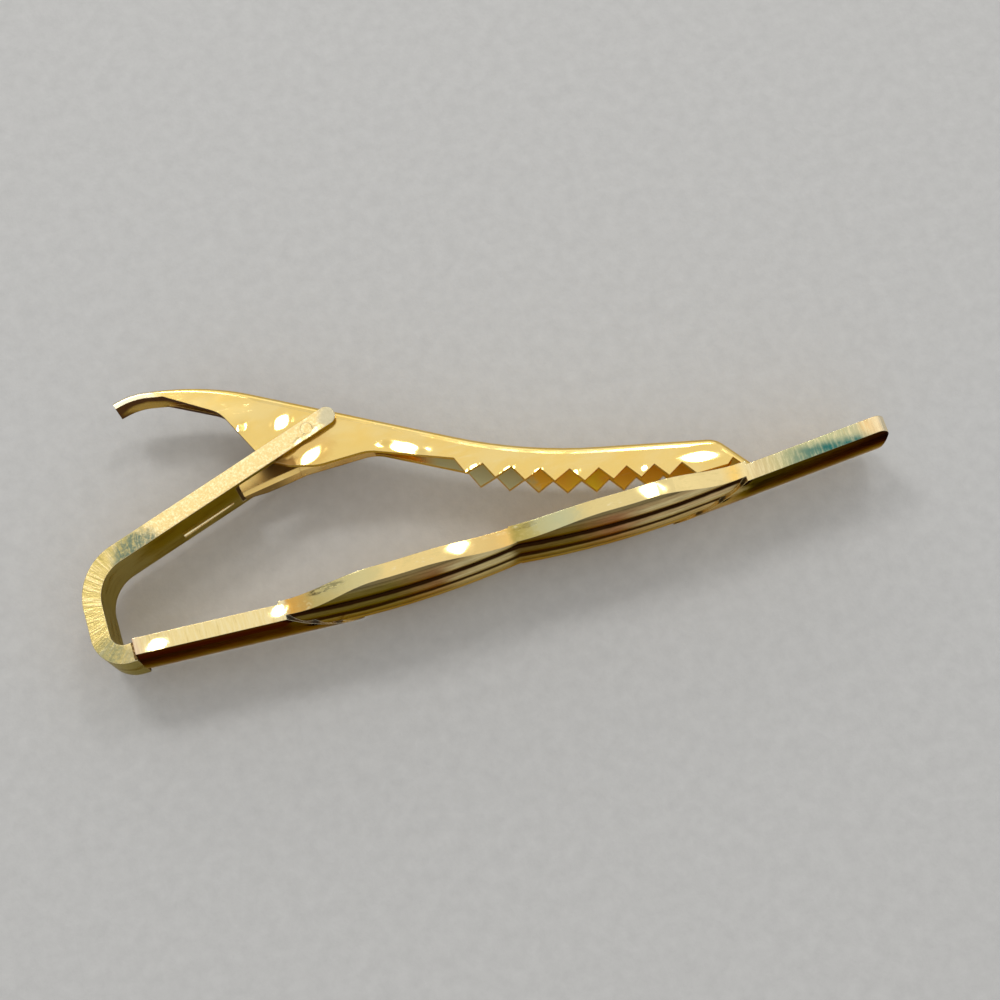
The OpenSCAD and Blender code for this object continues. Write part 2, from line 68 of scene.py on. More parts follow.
# The pivot: the middle of the hinge pin, in metres and in millimetres
HINGE = Vector(frame["joints"][0]["pos_m"])
PIN = HINGE / MM

# From here on a place or a length is in millimetres. The bar's ends, and the heights of the near edges
BAR_LEFT, BAR_RIGHT = (corner.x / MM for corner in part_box("front_bar"))
LOBE_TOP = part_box("front_bar")[1].z / MM
ARM_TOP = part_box("back_arm")[1].z / MM
LEVER_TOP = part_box("jaw_lever")[1].z / MM
PLAIN_TOP = 6.8
MID_WIDTH = PIN.z

# Along the bar: the first lobe starts at END_A, the two lobes meet at the waist, the second ends at END_B
END_A, WAIST, END_B = -15.45, 0.75, 17.75
FLUTE_PITCH = 1.64
# How far the lobes' ends slant along the bar for each millimetre of height, and where that count starts
SLANT, SLANT_FROM = 0.95, 6.5

# Glints to the left of this place come from the left key lamp, the others from the right one
KEY_BORDER = -8.0

# The stretch of a ball or patch that reaches further in height than along the strip
TALL = (1, 1, 0.3)

# Gold plate seen under the lamps
GOLD = (0.95, 0.68, 0.22)
WARM_GOLD = (0.90, 0.57, 0.15)
PALE_GOLD = (0.94, 0.74, 0.34)
SAND_GOLD = (0.76, 0.57, 0.25)
WORN_EDGE_AND_HIGHLIGHT = (0.97, 0.84, 0.55)

# What dulls it. The grime is also painted shade in inner corners, and the olive is also a painted dark
# reflection inside the arm
ORANGE = (0.75, 0.40, 0.08)
OLIVE = (0.46, 0.36, 0.13)
BROWN = (0.22, 0.11, 0.03)
GRIME_AND_SHADE = (0.06, 0.035, 0.012)
VERDIGRIS = (0.03, 0.15, 0.13)


# Helpers for materials

def node(tree, kind, **values):
    """A new node. Each value goes to the input of that name, or else to the node's own setting."""
    made = tree.nodes.new(kind)
    for key, value in values.items():
        if key in made.inputs.keys():
            made.inputs[key].default_value = value
        else:
            setattr(made, key, value)
    return made


def ramp(tree, value, stops, smooth="LINEAR"):
    """A ramp of greys or colours: each stop is a place from 0 to 1 and the shade there."""
    made = node(tree, "ShaderNodeValToRGB")
    made.color_ramp.interpolation = smooth
    elements = made.color_ramp.elements
    while len(elements) < len(stops):
        elements.new(0.5)
    for element, (at, shade) in zip(elements, stops):
        element.position = at
        element.color = (shade, shade, shade, 1) if isinstance(shade, float) else (*shade, 1)
    tree.links.new(value, made.inputs["Fac"])
    return made.outputs["Color"]


# The sparkle of sheared metal
SPARK_PALE = (0.96, 0.82, 0.50)
SPARK_DULL = (0.62, 0.46, 0.18)


class Finish:
    """A surface finish laid on coat by coat. All lengths in it are millimetres in the clip's frame."""

    def __init__(self, name, light, deep, rough, edge_radius=0.07, grain=0.003):
        self.material = bpy.data.materials.new(name)
        self.material.use_nodes = True
        self.tree = self.material.node_tree
        self.tree.nodes.clear()
        place = self.add("ShaderNodeTexCoord")
        self.at = self.add("ShaderNodeVectorMath", operation="SCALE", Scale=1 / MM)
        self.join(place.outputs["Object"], self.at.inputs[0])
        self.at = self.at.outputs["Vector"]
        self.x, self.y, self.z = self.parts(self.at)
        self.nx, self.ny, self.nz = self.parts(place.outputs["Normal"])

        # rounded edges, and 1 where an edge is rounded away from its flat faces
        rounded = self.add("ShaderNodeBevel", Radius=edge_radius * MM)
        rounded.samples = 4
        self.rounded = rounded.outputs["Normal"]
        lean = self.add("ShaderNodeVectorMath", operation="DOT_PRODUCT")
        self.join(self.rounded, lean.inputs[0])
        self.join(self.add("ShaderNodeNewGeometry").outputs["Normal"], lean.inputs[1])
        self.edge = self.rise(lean.outputs["Value"], 0.995, 0.93)

        # broad clouds of the two colours, a little rougher in the deeper one
        cloud = self.band(self.noise(0.32, 6.0, 0.6), 0.35, 0.68)
        self.colour = self.mix(cloud, light, deep)
        self.rough = self.sum(self.times(cloud, 0.06), rough)
        self.metal = 1.0
        self.height = self.times(self.noise(1.5, 5.0, 0.6), grain)

    def add(self, kind, **values):
        return node(self.tree, kind, **values)

    def join(self, a, b):
        self.tree.links.new(a, b)

    def parts(self, vector):
        """The three single values of a vector."""
        made = self.add("ShaderNodeSeparateXYZ")
        self.join(vector, made.inputs["Vector"])
        return made.outputs["X"], made.outputs["Y"], made.outputs["Z"]

    def sum_up(self, how, a, b=0.0):
        """One step of arithmetic on sockets or numbers."""
        made = self.add("ShaderNodeMath", operation=how)
        for socket, value in zip(made.inputs, (a, b)):
            if isinstance(value, (int, float)):
                socket.default_value = value
            else:
                self.join(value, socket)
        return made.outputs["Value"]

    def sum(self, a, b):
        return self.sum_up("ADD", a, b)

    def less(self, a, b):
        return self.sum_up("SUBTRACT", a, b)

    def times(self, a, b, *more):
        made = self.sum_up("MULTIPLY", a, b)
        for factor in more:
            made = self.sum_up("MULTIPLY", made, factor)
        return made

    def most(self, *shares):
        made = shares[0]
        for share in shares[1:]:
            made = self.sum_up("MAXIMUM", made, share)
        return made

    def turned(self, share):
        """The rest of a share."""
        return self.less(1.0, share)

    def rise(self, value, start, end):
        """0 at start and 1 at end, softly in between; the end may lie below the start."""
        made = self.add("ShaderNodeMapRange", interpolation_type="SMOOTHSTEP")
        made.inputs["From Min"].default_value = start
        made.inputs["From Max"].default_value = end
        self.join(value, made.inputs["Value"])
        return made.outputs["Result"]

    def span(self, value, low, high, soft=0.3):
        """1 between two places, fading over soft on either side."""
        begun = self.rise(value, low - soft, low + soft)
        return self.times(begun, self.rise(value, high + soft, high - soft))

    def steps(self, value, stops, smooth="EASE"):
        return ramp(self.tree, value, stops, smooth)

    def band(self, grain, start, end):
        """The share of a grain: 0 at start and 1 at end; the end may lie below the start."""
        return self.steps(grain, sorted([(start, 0.0), (end, 1.0)]))

    def near_face(self):
        """1 on the faces that look up from the table, which are the near ones in the photograph."""
        return self.rise(self.nz, 0.55, 0.8)

    def along(self, stops, ragged=0.5):
        """Colours that follow one another along the bar, with ragged borders; the places are millimetres."""
        first, last = stops[0][0], stops[-1][0]
        run = self.add("ShaderNodeMapRange")
        run.inputs["From Min"].default_value = first
        run.inputs["From Max"].default_value = last
        shift = self.times(self.less(self.noise(2.2, 4.0, 0.6), 0.5), 2 * ragged)
        self.join(self.sum(self.x, shift), run.inputs["Value"])
        shares = [((at - first) / (last - first), colour) for at, colour in stops]
        return self.steps(run.outputs["Result"], shares, "LINEAR")

    def noise(self, scale, detail=4.0, rough=0.5, stretch=(1, 1, 1), turn=(0, 0, 0), place=None):
        """Grain with about scale lumps to a millimetre, stretched along the axes."""
        spread = self.add("ShaderNodeMapping")
        spread.inputs["Scale"].default_value = stretch
        spread.inputs["Rotation"].default_value = turn
        self.join(place or self.at, spread.inputs["Vector"])
        made = self.add("ShaderNodeTexNoise", Scale=scale, Detail=detail, Roughness=rough)
        self.join(spread.outputs["Vector"], made.inputs["Vector"])
        return made.outputs["Fac"]

    def away(self, centre, stretch, turn=0.0):
        """The distance from a place, measured with stretched axes that are turned about the height."""
        shift = self.add("ShaderNodeVectorMath", operation="SUBTRACT")
        self.join(self.at, shift.inputs[0])
        shift.inputs[1].default_value = centre
        spun = self.add("ShaderNodeVectorRotate", rotation_type="Z_AXIS", Angle=-math.radians(turn))
        self.join(shift.outputs["Vector"], spun.inputs["Vector"])
        shape = self.add("ShaderNodeVectorMath", operation="MULTIPLY")
        self.join(spun.outputs["Vector"], shape.inputs[0])
        shape.inputs[1].default_value = stretch
        length = self.add("ShaderNodeVectorMath", operation="LENGTH")
        self.join(shape.outputs["Vector"], length.inputs[0])
        return length.outputs["Value"]

    def patch(self, centre, radius, ragged=0.8, scale=2.0, stretch=(1, 1, 1)):
        """1 inside a ragged ball round a place, 0 outside."""
        torn = self.times(self.less(self.noise(scale, 5.0, 0.65), 0.5), 2 * ragged)
        return self.rise(self.sum(self.away(centre, stretch), torn), radius, radius * 0.55)

    def ball(self, centre, radius, stretch, turn=0.0):
        """1 in the middle of a smooth, turned ball, falling softly to 0 at its radius."""
        return self.rise(self.away(centre, stretch, turn), radius, radius * 0.35)

    def mix(self, share, a, b):
        """From a to b by a share, for colours."""
        made = self.add("ShaderNodeMix", data_type="RGBA")
        self.join(share, made.inputs["Factor"])
        for socket, value in ((made.inputs["A"], a), (made.inputs["B"], b)):
            if isinstance(value, tuple):
                socket.default_value = (*value, 1)
            else:
                self.join(value, socket)
        return made.outputs["Result"]

    def blend(self, share, a, b):
        """From a to b by a share, for single values."""
        return self.sum(self.times(self.turned(share), a), self.times(share, b))

    def coat(self, share, colour=None, rough=None, metal=None):
        """Lays a colour, a roughness and a share of bare metal over what is there."""
        if colour is not None:
            self.colour = self.mix(share, self.colour, colour)
        if rough is not None:
            self.rough = self.blend(share, self.rough, rough)
        if metal is not None:
            self.metal = self.blend(share, self.metal, metal)

    def flecks(self, where, grain, start, end, strength, colour, rough=None):
        """A coat only on the part of a grain that band() picks."""
        self.coat(self.times(where, self.band(grain, start, end), strength), colour, rough)

    def sheared(self, where):
        """The coarse sparkle of metal that was sheared and never polished."""
        speckle = self.noise(7.0, 3.0, 0.7)
        self.flecks(where, speckle, 0.50, 0.60, 0.6, SPARK_PALE)
        self.flecks(where, speckle, 0.46, 0.36, 0.5, SPARK_DULL)
        self.emboss(self.times(where, speckle), 0.012)

    def emboss(self, height, amount):
        self.height = self.sum(self.height, self.times(height, amount))

    def crevice_grime_and_shade(self, reach=0.5, colour=GRIME_AND_SHADE, strength=0.8):
        """Grime, and painted shade, in the inner corners."""
        hidden = self.add("ShaderNodeAmbientOcclusion", Distance=reach * MM)
        hidden.samples = 4
        uneven = self.steps(self.noise(1.3, 4.0, 0.6), [(0.3, 0.35), (0.6, 1.0)])
        share = self.times(self.rise(hidden.outputs["AO"], 0.62, 0.2), strength, uneven)
        self.coat(share, colour, 0.5, 0.7)

    def glint(self, place, radius, stretch=(1, 1), turn=0.0, slope=0.0):
        """A shallow dent in a face that looks up. Its flat floor leans and throws a lamp at the camera.
        Slope: how far the face itself already leans along the bar."""
        spot = Vector(place) * MM
        lamp = Vector(KEY_LEFT if place[0] < KEY_BORDER else KEY_RIGHT)
        half = (Vector(CAMERA_AT) - spot).normalized() + (lamp - spot).normalized()
        lean = (-half.x / half.z - slope, -half.y / half.z)
        dx = self.less(self.x, place[0])
        dy = self.less(self.y, place[1])
        inside = self.ball(place, 2.2 * radius, (*stretch, TALL[2]), turn)
        tilt = self.sum(self.times(dx, lean[0]), self.times(dy, lean[1]))
        self.height = self.sum(self.height, self.times(tilt, inside, self.rise(self.nz, 0.7, 0.9)))

    def done(self):
        """The material, from all the coats."""
        shader = self.add("ShaderNodeBsdfPrincipled")
        out = self.add("ShaderNodeOutputMaterial")
        bump = self.add("ShaderNodeBump", Strength=1.0, Distance=MM)
        self.join(self.height, bump.inputs["Height"])
        self.join(self.rounded, bump.inputs["Normal"])
        self.join(self.colour, shader.inputs["Base Color"])
        self.join(self.colour, shader.inputs["Specular Tint"])
        self.join(self.rough, shader.inputs["Roughness"])
        if isinstance(self.metal, float):
            shader.inputs["Metallic"].default_value = self.metal
        else:
            self.join(self.metal, shader.inputs["Metallic"])
        self.join(bump.outputs["Normal"], shader.inputs["Normal"])
        self.join(shader.outputs["BSDF"], out.inputs["Surface"])
        return self.material


# The bar

# The colours of its coats
FLUTE_DIRT_AND_SHADE = (0.035, 0.012, 0.004)
RIB_WEAR_AND_HIGHLIGHT = (0.95, 0.80, 0.42)
STREAK_DARK = (0.06, 0.032, 0.008)
SPOT_RED = (0.14, 0.04, 0.01)
STEP_SHADE_GOLD = (0.62, 0.42, 0.12)
RIM_DARK_REFLECTION = (0.13, 0.045, 0.012)
BRUSHED_PALE = (0.97, 0.82, 0.46)
BRUSHED_DEEP = (0.70, 0.50, 0.20)
MOTTLE_DULL = (0.68, 0.53, 0.22)
MOTTLE_PALE = (0.96, 0.84, 0.50)
PIT_DARK = (0.045, 0.02, 0.003)
STAIN_OLIVE = (0.60, 0.54, 0.26)
STAIN_GREY = (0.50, 0.50, 0.30)
TONGUE_PAINTED_LIGHT = (0.97, 0.86, 0.62)

# Its front from left to right: places and colours. Plain end, first lobe, second lobe, free end. Tarnish
# together with painted dark and light reflections
FRONT_TARNISH_AND_REFLECTION = [
    (BAR_LEFT, (0.10, 0.065, 0.015)), (END_A - 0.2, (0.16, 0.10, 0.02)),
    (END_A + 0.2, (0.20, 0.14, 0.03)), (-8.0, (0.22, 0.17, 0.035)), (-5.0, (0.42, 0.22, 0.09)),
    (-2.2, (0.80, 0.64, 0.30)), (0.3, (0.72, 0.60, 0.28)),
    (WAIST + 0.2, (0.15, 0.09, 0.02)), (5.0, (0.24, 0.16, 0.035)), (8.0, (0.46, 0.22, 0.10)),
    (11.0, (0.74, 0.54, 0.26)), (16.5, (0.78, 0.58, 0.30)),
    (END_B + 0.3, (0.13, 0.12, 0.04)), (24.0, (0.13, 0.09, 0.025)), (BAR_RIGHT, GRIME_AND_SHADE)]

# Its cut near edge in the same way: tarnish, and painted darker reflection where each lobe starts
EDGE_TARNISH_AND_REFLECTION = [
    (BAR_LEFT, (0.86, 0.62, 0.42)), (-25.1, PALE_GOLD), (-20.0, (0.92, 0.74, 0.34)), (END_A - 0.7, PALE_GOLD),
    (END_A + 0.05, (0.95, 0.80, 0.45)), (END_A + 0.3, ORANGE), (-13.9, (0.66, 0.42, 0.12)),
    (-13.3, (0.60, 0.48, 0.17)), (-10.0, (0.72, 0.60, 0.28)), (-8.0, (0.90, 0.68, 0.28)),
    (-4.0, (0.88, 0.66, 0.27)), (-0.5, (0.80, 0.55, 0.20)), (WAIST - 0.2, (0.90, 0.58, 0.18)),
    (WAIST + 0.3, (0.46, 0.36, 0.09)), (2.8, (0.54, 0.46, 0.17)), (4.2, (0.56, 0.53, 0.27)),
    (6.5, (0.82, 0.65, 0.28)), (16.0, (0.84, 0.66, 0.30)), (17.0, (0.92, 0.60, 0.16)),
    (END_B, (0.95, 0.76, 0.36)), (18.6, (0.76, 0.60, 0.30)), (20.5, (0.64, 0.57, 0.28)),
    (24.0, (0.56, 0.56, 0.30)), (26.3, (0.60, 0.56, 0.32)), (26.9, (0.95, 0.66, 0.30)),
    (BAR_RIGHT, (0.96, 0.80, 0.52))]

# The middles of the marks on the lobes
FRONT_SPOTS = (-13.6, -9.3, 3.6)
FIRST_PITS, SECOND_PITS = (-12.3, -8.14, 7.4), (2.2, -8.0, 7.4)
FIRST_STAIN, SECOND_STAIN = (-10.6, -8.1, 7.4), (3.9, -8.2, 7.8)

# The glints on the near edge: the place, the radius, and how far the edge itself leans along the bar there
BAR_GLINTS = [
    ((-24.3, -8.4, PLAIN_TOP), 0.56, 0.0), ((-15.8, -8.55, PLAIN_TOP), 0.46, 0.0),
    ((-2.93, -8.15, LOBE_TOP - 0.2), 0.6, -0.157), ((10.9, -8.34, LOBE_TOP), 0.68, 0.0)]


def bar_flutes(f):
    """The waves across the width that make ribs and grooves, their wander, and 1 in the grooves."""
    wave = f.sum_up("COSINE", f.times(f.less(f.z, MID_WIDTH), math.pi / FLUTE_PITCH))
    wave = f.sum_up("ABSOLUTE", wave)
    wander = f.times(f.less(f.noise(1.2, 5.0, 0.65, stretch=(0.35, 1, 1)), 0.5), 0.3)
    slant = f.times(f.less(f.z, SLANT_FROM), SLANT)
    begun = f.rise(f.sum(f.x, slant), END_A - 0.45, END_A - 0.05)
    ended = f.rise(f.less(f.x, slant), END_B + 0.35, END_B - 0.05)
    groove = f.times(f.rise(f.sum(wave, wander), 0.60, 0.34), f.times(begun, ended))
    return wave, wander, groove


def bar_front(f, near, lobes):
    """The polished front, with tarnish and painted dark reflection strongest on its near half, and dirt and
    painted shade in its flutes.
    """
    front = f.rise(f.ny, -0.3, -0.6)
    half = f.blend(f.rise(f.z, 2.4, 6.0), 0.2, 1.0)
    f.coat(f.times(front, half, 0.95), f.along(FRONT_TARNISH_AND_REFLECTION), 0.2)

    # grooves darkened by dirt and painted shade, and ribs worn bright with a painted highlight on the last
    # part of each lobe
    wave, wander, groove = bar_flutes(f)
    f.coat(f.times(groove, front, f.blend(half, 0.75, 1.0)), FLUTE_DIRT_AND_SHADE, 0.4)
    worn = f.most(f.span(f.x, -4.0, 0.6, 0.8), f.span(f.x, 9.5, 17.4, 1.2))
    rib = f.times(f.rise(f.sum(wave, f.times(wander, 0.5)), 0.80, 0.93), worn, f.turned(groove))
    f.coat(f.times(rib, front, half, 0.8), RIB_WEAR_AND_HIGHLIGHT, 0.18)

    # dark streaks along the bar, weaker on the lobes, and reddish spots on the first lobe
    streaks = f.band(f.noise(2.4, 5.0, 0.7, stretch=(0.25, 1, 3.0)), 0.42, 0.58)
    f.coat(f.times(front, half, streaks, f.blend(lobes, 0.4, 0.25)), STREAK_DARK, 0.35)
    spots = f.times(front, f.patch(FRONT_SPOTS, 3.4, ragged=2.0, scale=1.0, stretch=(0.6, 1, 1.1)))
    spotted = f.steps(f.noise(1.9, 5.0, 0.7, stretch=(0.5, 1, 1)), [(0.57, 0.0), (0.64, 0.6)])
    f.coat(f.times(spots, spotted), SPOT_RED, 0.4)

    # painted shade on the steps at the lobes' ends, and a brown rim of painted dark reflection on the plain
    # end, which fades out towards the free end
    sideways = f.rise(f.sum_up("ABSOLUTE", f.nx), 0.35, 0.65)
    step = f.times(sideways, f.span(f.x, -16.0, 23.2, 0.3))
    f.coat(f.times(step, f.turned(near), f.turned(groove)), STEP_SHADE_GOLD, 0.24)
    rim = f.times(front, f.turned(lobes), f.span(f.z, 5.9, 6.7, 0.25), f.rise(f.x, 20.0, 8.0))
    f.coat(f.times(rim, 0.85), RIM_DARK_REFLECTION, 0.3)


def bar_near_edge(f, near, lobes):
    """The cut edge: brushed across on the plain ends, mottled on the lobes. Returns the brushed grain."""
    # tarnish along the cut edge, with painted darker reflection at the lobes' starts
    f.coat(near, f.along(EDGE_TARNISH_AND_REFLECTION, 0.3), 0.2)
    across = f.noise(1.0, 4.0, 0.6, stretch=(6.0, 0.7, 0.7))
    plain = f.times(near, f.turned(lobes))
    f.flecks(plain, across, 0.45, 0.62, 0.55, BRUSHED_PALE)
    f.flecks(plain, across, 0.44, 0.30, 0.4, BRUSHED_DEEP)
    f.emboss(f.times(plain, across), 0.02)
    mottle = f.noise(1.7, 6.0, 0.7, stretch=(0.5, 1, 1))
    fluted = f.times(near, lobes)
    f.flecks(fluted, mottle, 0.50, 0.66, 0.4, MOTTLE_DULL, 0.3)
    f.flecks(fluted, mottle, 0.42, 0.30, 0.5, MOTTLE_PALE)
    return across


def bar_pits(f, near):
    """Pits in the plate near the start of the first lobe, a few on the second, and stains beside them."""
    first = f.patch(FIRST_PITS, 1.3, ragged=0.3, scale=1.5, stretch=(0.75, 4.0, 0.4))
    second = f.patch(SECOND_PITS, 0.8, ragged=0.3, scale=1.5, stretch=(0.6, 3.6, 0.4))
    pits = f.most(first, f.times(second, 0.5))
    holes = f.band(f.noise(3.4, 6.0, 0.75, stretch=(0.45, 1.5, 0.2)), 0.42, 0.52)
    f.coat(f.times(near, pits, holes), PIT_DARK, 0.5)
    f.emboss(f.times(pits, holes), -0.002)
    stain = f.patch(FIRST_STAIN, 1.5, ragged=0.5, scale=1.5, stretch=(0.5, 1.6, 0.4))
    f.coat(f.times(near, stain, 0.5), STAIN_OLIVE)
    stain = f.patch(SECOND_STAIN, 1.3, ragged=0.6, scale=2.5, stretch=(0.6, 1.2, 0.4))
    f.coat(f.times(near, stain, 0.5), STAIN_GREY, 0.3)


def bar_verdigris(f, near, across):
    """Green at the free end, heavier towards the front. Its border follows the slope of that end."""
    low = f.rise(f.sum(f.y, f.times(f.less(f.x, 23.0), 0.085)), -7.75, -8.55)
    green = f.times(near, f.span(f.x, 20.6, 27.0, 1.0), low, f.blend(f.rise(f.x, 20.0, 24.0), 0.5, 1.0))
    grain = f.sum(f.times(across, 0.4), f.times(f.noise(1.6, 5.0, 0.6), 0.6))
    f.coat(f.times(green, f.steps(grain, [(0.42, 1.0), (0.64, 0.6)])), VERDIGRIS, 0.42, 0.5)


def bar_finish():
    """Stamped and polished bar: bright cut edges, lobes tarnished in their flutes, green at the free end."""
    f = Finish("polished_bar", GOLD, WARM_GOLD, 0.15)
    near = f.near_face()
    lobes = f.span(f.x, END_A, END_B, 0.4)
    bar_front(f, near, lobes)
    across = bar_near_edge(f, near, lobes)
    bar_pits(f, near)
    bar_verdigris(f, near, across)
    # painted light: paler on the faces that look towards the free end
    f.coat(f.rise(f.nx, 0.3, 0.7), TONGUE_PAINTED_LIGHT, 0.25)
    # grime and painted shade in the inner corners
    f.crevice_grime_and_shade(0.5)
    for place, radius, slope in BAR_GLINTS:
        f.glint(place, radius, (1, 1.1), slope=slope)
    # worn pale, with a painted highlight, along the rounded edges
    f.coat(f.times(f.edge, near, 0.35), WORN_EDGE_AND_HIGHLIGHT)
    return f.done()


# The arm

# The colours of its coats
BEND_GOLD = (0.62, 0.48, 0.17)
BEND_PALE = (0.86, 0.68, 0.33)
BEND_DARK = (0.40, 0.31, 0.09)
DULL_GREEN = (0.09, 0.15, 0.115)
INNER_GOLD = (0.60, 0.52, 0.26)
INNER_SMEAR = (0.30, 0.19, 0.05)
RIDGE_HIGHLIGHT = (0.96, 0.82, 0.48)
TIP_GREY = (0.46, 0.42, 0.28)
ROOT_SHADE = (0.10, 0.06, 0.02)

# The point that the marks of bending run round, along and across
BEND_MIDDLE = (-24.4, -5.2)

# Green where the strip leaves the bend and at its low corner: place, radius, raggedness, stretch, strength
ARM_GREEN = [
    ((-23.9, -1.75, ARM_TOP), 2.1, 0.7, (0.85, 1.0, 0.3), 1.0),
    ((-27.6, -7.9, ARM_TOP), 1.3, 0.6, TALL, 0.65),
    ((-26.3, -8.6, ARM_TOP), 0.9, 0.5, TALL, 0.5)]

# The worn tip of the near prong, and the glints beside it: place, radius, stretch, and one turn for all
PRONG_TIP = (-8.7, 3.9, ARM_TOP)
PRONG_GLINTS = [((-10.2, 3.1, ARM_TOP), 0.24, (0.55, 1.3)), ((-11.3, 2.75, ARM_TOP), 0.16, (0.6, 1.2))]
PRONG_TURN = 18


def arm_bends(f, near):
    """Marks across the bends: grain that follows the angle about a point inside them. Returns the grain."""
    dx = f.less(f.x, BEND_MIDDLE[0])
    dy = f.less(f.y, BEND_MIDDLE[1])
    turn = f.sum_up("ARCTAN2", dy, dx)
    reach = f.sum_up("SQRT", f.sum(f.times(dx, dx), f.times(dy, dy)))
    polar = f.add("ShaderNodeCombineXYZ")
    f.join(f.times(turn, 24.0), polar.inputs["X"])
    f.join(f.times(reach, 0.5), polar.inputs["Y"])
    f.join(f.times(f.z, 0.4), polar.inputs["Z"])
    marks = f.noise(1.0, 4.0, 0.65, place=polar.outputs["Vector"])
    bends = f.times(near, f.rise(f.sum(f.x, f.times(f.y, -0.3)), -22.6, -25.0))
    f.coat(bends, BEND_GOLD, 0.3)
    f.flecks(bends, marks, 0.50, 0.60, 0.7, BEND_PALE)
    f.flecks(bends, marks, 0.44, 0.34, 0.6, BEND_DARK)
    f.emboss(f.times(bends, marks), 0.03)
    return marks


def arm_verdigris(f, near, marks):
    """Green spots that break up along the marks of bending."""
    spots = [f.times(f.patch(place, radius, ragged, 1.8, stretch), strength)
             for place, radius, ragged, stretch, strength in ARM_GREEN]
    grain = f.sum(f.times(marks, 0.45), f.times(f.noise(3.4, 5.0, 0.7), 0.55))
    torn = f.steps(grain, [(0.36, 0.3), (0.56, 0.9)])
    f.coat(f.times(near, f.most(*spots), torn), DULL_GREEN, 0.4, 0.7)


def arm_inside(f, near):
    """The inner face: painted dark reflection with some tarnish, darkest along the leg, paler in the bend and
    on its far side, and a painted highlight on its ridge.
    """
    bend = f.times(f.rise(f.nx, 0.3, 0.7), f.rise(f.x, -20.0, -22.0))
    inner = f.times(f.most(f.rise(f.ny, -0.25, -0.6), bend), f.turned(near))
    depth = f.blend(f.rise(f.z, 4.6, 3.0), 1.0, 0.45)
    leg = f.rise(f.x, -25.0, -22.5)
    # painted dark reflection on the inner face, olive along the leg
    f.coat(inner, INNER_GOLD, 0.26)
    f.coat(f.times(inner, leg, depth), OLIVE, 0.22)
    smear = f.noise(0.8, 5.0, 0.6, stretch=(0.5, 0.5, 1.6))
    f.flecks(inner, smear, 0.45, 0.7, 0.45, INNER_SMEAR, 0.3)
    # a painted highlight along the ridge
    ridge = f.times(f.span(f.x, -21.9, -17.3, 0.1), f.rise(f.nz, 0.25, 0.6), f.span(f.z, 3.0, 3.6, 0.05))
    f.coat(ridge, RIDGE_HIGHLIGHT, 0.2, 1.0)


def arm_fork(f, near):
    """The tips of the prongs, worn grey, and painted shade in the root of the fork."""
    tip = f.patch(PRONG_TIP, 1.1, ragged=0.4, scale=2.0, stretch=TALL)
    f.coat(f.times(near, tip, 0.85), TIP_GREY, 0.36)
    # painted shade in the root of the fork
    root = f.most(f.times(f.rise(f.nx, 0.6, 0.9), f.span(f.x, -17.5, -15.0, 0.3)),
                  f.times(f.rise(f.nz, 0.5, 0.8), f.rise(f.z, 3.0, 2.6)))
    f.coat(root, ROOT_SHADE, 0.5, 0.7)


def arm_finish():
    """Sheared strip: sandy on its cut edge, with marks that run across the bends, olive inside."""
    f = Finish("sheared_arm", GOLD, WARM_GOLD, 0.24, edge_radius=0.09)
    near = f.near_face()
    f.coat(near, SAND_GOLD, 0.34)
    f.sheared(near)
    marks = arm_bends(f, near)
    arm_verdigris(f, near, marks)
    arm_inside(f, near)
    arm_fork(f, near)
    # sandy clouds on the back
    f.flecks(f.rise(f.ny, 0.3, 0.6), f.noise(0.7, 5.0, 0.6), 0.45, 0.7, 0.4, SAND_GOLD, 0.34)
    # grime and painted shade in the inner corners
    f.crevice_grime_and_shade(0.6)
    for place, radius, stretch in PRONG_GLINTS:
        f.glint(place, radius, stretch, PRONG_TURN)
    # worn pale, with a painted highlight, along the rounded edges
    f.coat(f.times(f.edge, 0.55), WORN_EDGE_AND_HIGHLIGHT, 0.25)
    return f.done()


# The lever

# The colours of its coats
LEVER_DEEP = (0.96, 0.66, 0.19)
LEVER_PALE = (0.96, 0.77, 0.36)
FAR_REFLECTION_ORANGE = (1.0, 0.62, 0.07)
FAR_REFLECTION_GREEN = (0.60, 0.62, 0.36)
FAR_REFLECTION_YELLOW = (1.0, 0.84, 0.05)
PIVOT_ORANGE = (0.72, 0.40, 0.09)
PIVOT_BLACK = (0.20, 0.09, 0.02)
CHANNEL_ORANGE = (0.58, 0.36, 0.10)
EAR_SHADE_GOLD = (0.72, 0.50, 0.17)
TAB_SILVER = (0.72, 0.68, 0.56)
TAB_UNDER_SHADE = (0.15, 0.085, 0.02)
TAB_GLEAM_REFLECTION = (0.80, 0.58, 0.22)
SCRATCH_PALE = (0.98, 0.86, 0.58)
LEVER_GRIME_AND_SHADE = (0.16, 0.07, 0.015)
FOLD_HIGHLIGHT = (0.98, 0.84, 0.50)

# Between these heights lies the border of the far wall, whose cut edge is seen under the near one
FAR_WALL = (3.6, 3.2)

# The middles of the marks: orange and dark patches at the pivot, the worn tab, and a painted bright
# reflection under it
PIVOT_ORANGE_PLACE, PIVOT_DARK_PLACE = (-11.4, 2.3, LEVER_TOP), (-12.6, 1.5, LEVER_TOP)
TAB_WORN, TAB_REFLECTION_PLACE = (-22.4, 9.7, 4.5), (-21.0, 9.0, 3.6)

